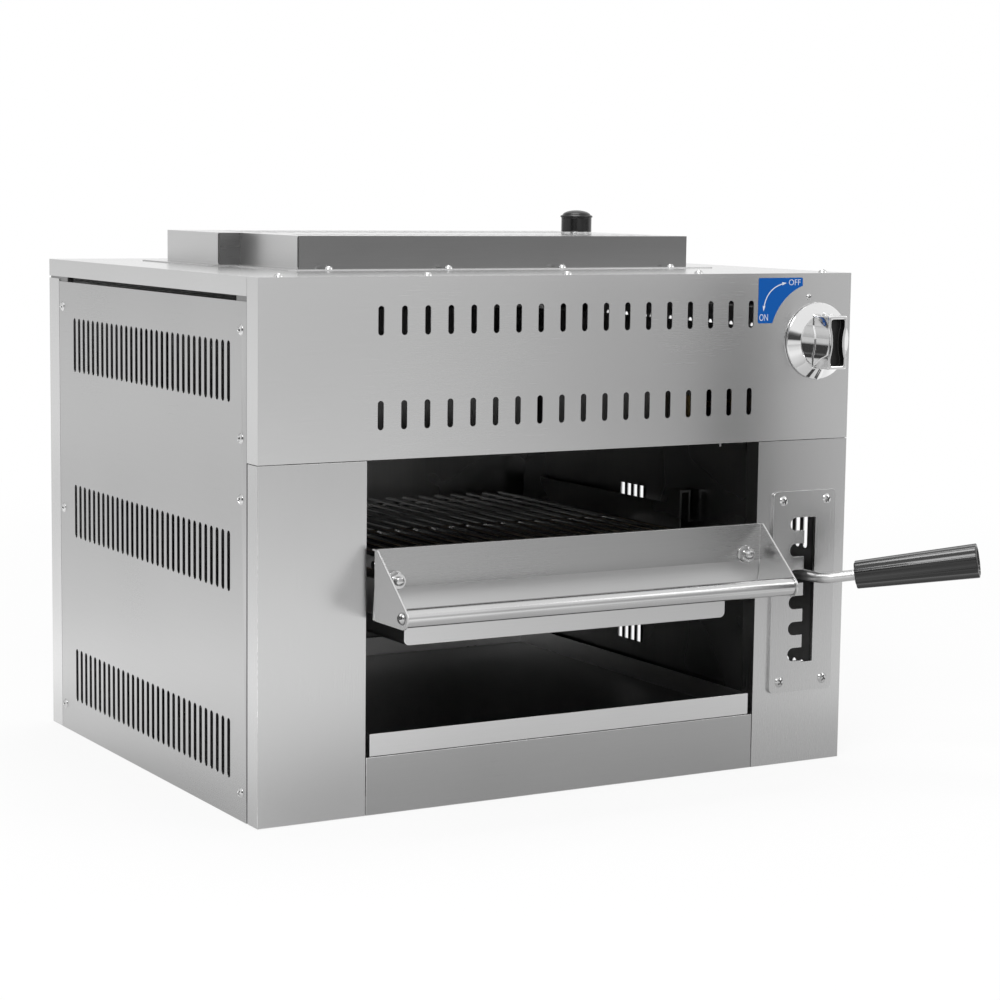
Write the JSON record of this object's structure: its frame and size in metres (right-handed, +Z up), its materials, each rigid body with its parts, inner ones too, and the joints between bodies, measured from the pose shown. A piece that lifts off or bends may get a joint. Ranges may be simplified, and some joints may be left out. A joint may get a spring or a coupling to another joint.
{
  "type": "cheese melter",
  "caption": "Counter-top gas cheese melter: open-front cabinet with hooded burners, a lever-lifted wire rack on a parallelogram linkage, drip tray, crumb tray, gas knob.",
  "frame": {"origin": "centre of the casing footprint, on the plane the base rests on", "axes": "+Z up, -Y out of the open front, +X to the right of someone facing the front"},
  "size_m": [0.6727, 0.6149, 0.508],
  "materials": {
    "brushed_steel": "fine-grained brushed",
    "dark_steel": "heat-darkened satin",
    "tray_steel": "rolled satin",
    "burner_steel": "satin",
    "tile_ceramic": "matt",
    "wire_steel": "polished",
    "screw_steel": "bright",
    "pipe_steel": "satin",
    "brass": "satin",
    "knob_chrome": "polished",
    "label_film": "printed film",
    "black_bakelite": "satin",
    "black_plastic": "matt"
  },
  "bodies": {
    "casing": {"base_pan": "brushed_steel", "corner_posts": "dark_steel", "left_side_panel": "brushed_steel", "right_side_panel": "brushed_steel", "rear_panel": "brushed_steel", "top_cover": "brushed_steel", "flue_cap": "brushed_steel", "front_hood": "brushed_steel", "left_front_column": "brushed_steel", "right_front_column": "brushed_steel", "front_crosspiece": "brushed_steel", "left_inner_wall": "dark_steel", "right_inner_wall": "dark_steel", "rear_inner_wall": "dark_steel", "crumb_tray_runners": "dark_steel", "burner_shelf": "dark_steel", "left_burner_box": "burner_steel", "right_burner_box": "burner_steel", "burner_tiles": "tile_ceramic", "burner_guards": "wire_steel", "gas_manifold": "pipe_steel", "burner_injectors": "brass", "gas_valve": "brass", "gas_supply_pipe": "pipe_steel", "gas_inlet_cap": "black_plastic", "pilot_burner": "brass", "guide_plate": "brushed_steel", "guide_plate_screws": "screw_steel", "side_panel_screws": "screw_steel", "hood_screws": "screw_steel", "flue_cap_screws": "screw_steel", "rear_panel_screws": "screw_steel", "knob_label": "label_film", "left_pivot_bracket": "dark_steel", "right_pivot_bracket": "dark_steel"},
    "lift_arms": {"lift_shaft": "wire_steel", "left_lift_arm": "dark_steel", "right_lift_arm": "dark_steel"},
    "left_follower": {"left_follower_link": "dark_steel"},
    "right_follower": {"right_follower_link": "dark_steel"},
    "carriage": {"left_carriage_rail": "dark_steel", "right_carriage_rail": "dark_steel", "carriage_crossbar": "dark_steel", "left_coupler": "dark_steel", "right_coupler": "dark_steel", "rack_keepers": "dark_steel"},
    "lever": {"lever_rod": "wire_steel", "lever_grip": "black_bakelite"},
    "rack": {"rack_grid": "wire_steel", "rack_front_plate": "brushed_steel", "rack_handle_tube": "wire_steel", "rack_fasteners": "screw_steel"},
    "drip_tray_unit": {"drip_tray": "tray_steel"},
    "crumb_tray_unit": {"crumb_tray": "tray_steel"},
    "knob_unit": {"knob": "knob_chrome", "valve_stem": "brass"}
  },
  "joints": [
    {"name": "lift", "type": "hinge", "parent": "casing", "child": "lift_arms", "pos_m": [0, 0.205, 0.1336], "axis": [-1, 0, 0], "range_deg": [-17.64, 11.81]},
    {"name": "left_follow", "type": "hinge", "parent": "casing", "child": "left_follower", "pos_m": [-0.2145, 0.205, 0.1936], "axis": [-1, 0, 0], "range_deg": [-17.69, 11.86]},
    {"name": "right_follow", "type": "hinge", "parent": "casing", "child": "right_follower", "pos_m": [0.2145, 0.205, 0.1936], "axis": [-1, 0, 0], "range_deg": [-17.69, 11.86]},
    {"name": "carriage_level", "type": "hinge", "parent": "lift_arms", "child": "carriage", "pos_m": [0, -0.03469, 0.1458], "axis": [-1, 0, 0], "range_deg": [-11.86, 17.69]},
    {"name": "lever_swing", "type": "hinge", "parent": "carriage", "child": "lever", "pos_m": [0.2425, -0.06499, 0.1758], "axis": [0, 0, 1], "range_deg": [-5.01, 0]},
    {"name": "rack_slide", "type": "slide", "parent": "carriage", "child": "rack", "axis": [0, -1, 0], "range_m": [0, 0.26]},
    {"name": "drip_tray_slide", "type": "slide", "parent": "carriage", "child": "drip_tray_unit", "axis": [0, -1, 0], "range_m": [0, 0.25]},
    {"name": "crumb_tray_slide", "type": "slide", "parent": "casing", "child": "crumb_tray_unit", "axis": [0, -1, 0], "range_m": [0, 0.3]},
    {"name": "knob_turn", "type": "hinge", "parent": "casing", "child": "knob_unit", "pos_m": [0.262, -0.24, 0.393], "axis": [0, -1, 0], "range_deg": [0, 90]}
  ],
  "couplings": [
    {"joint": "left_follow", "follows": "lift", "ratio": 1},
    {"joint": "right_follow", "follows": "lift", "ratio": 1},
    {"joint": "carriage_level", "follows": "lift", "ratio": -1}
  ]
}
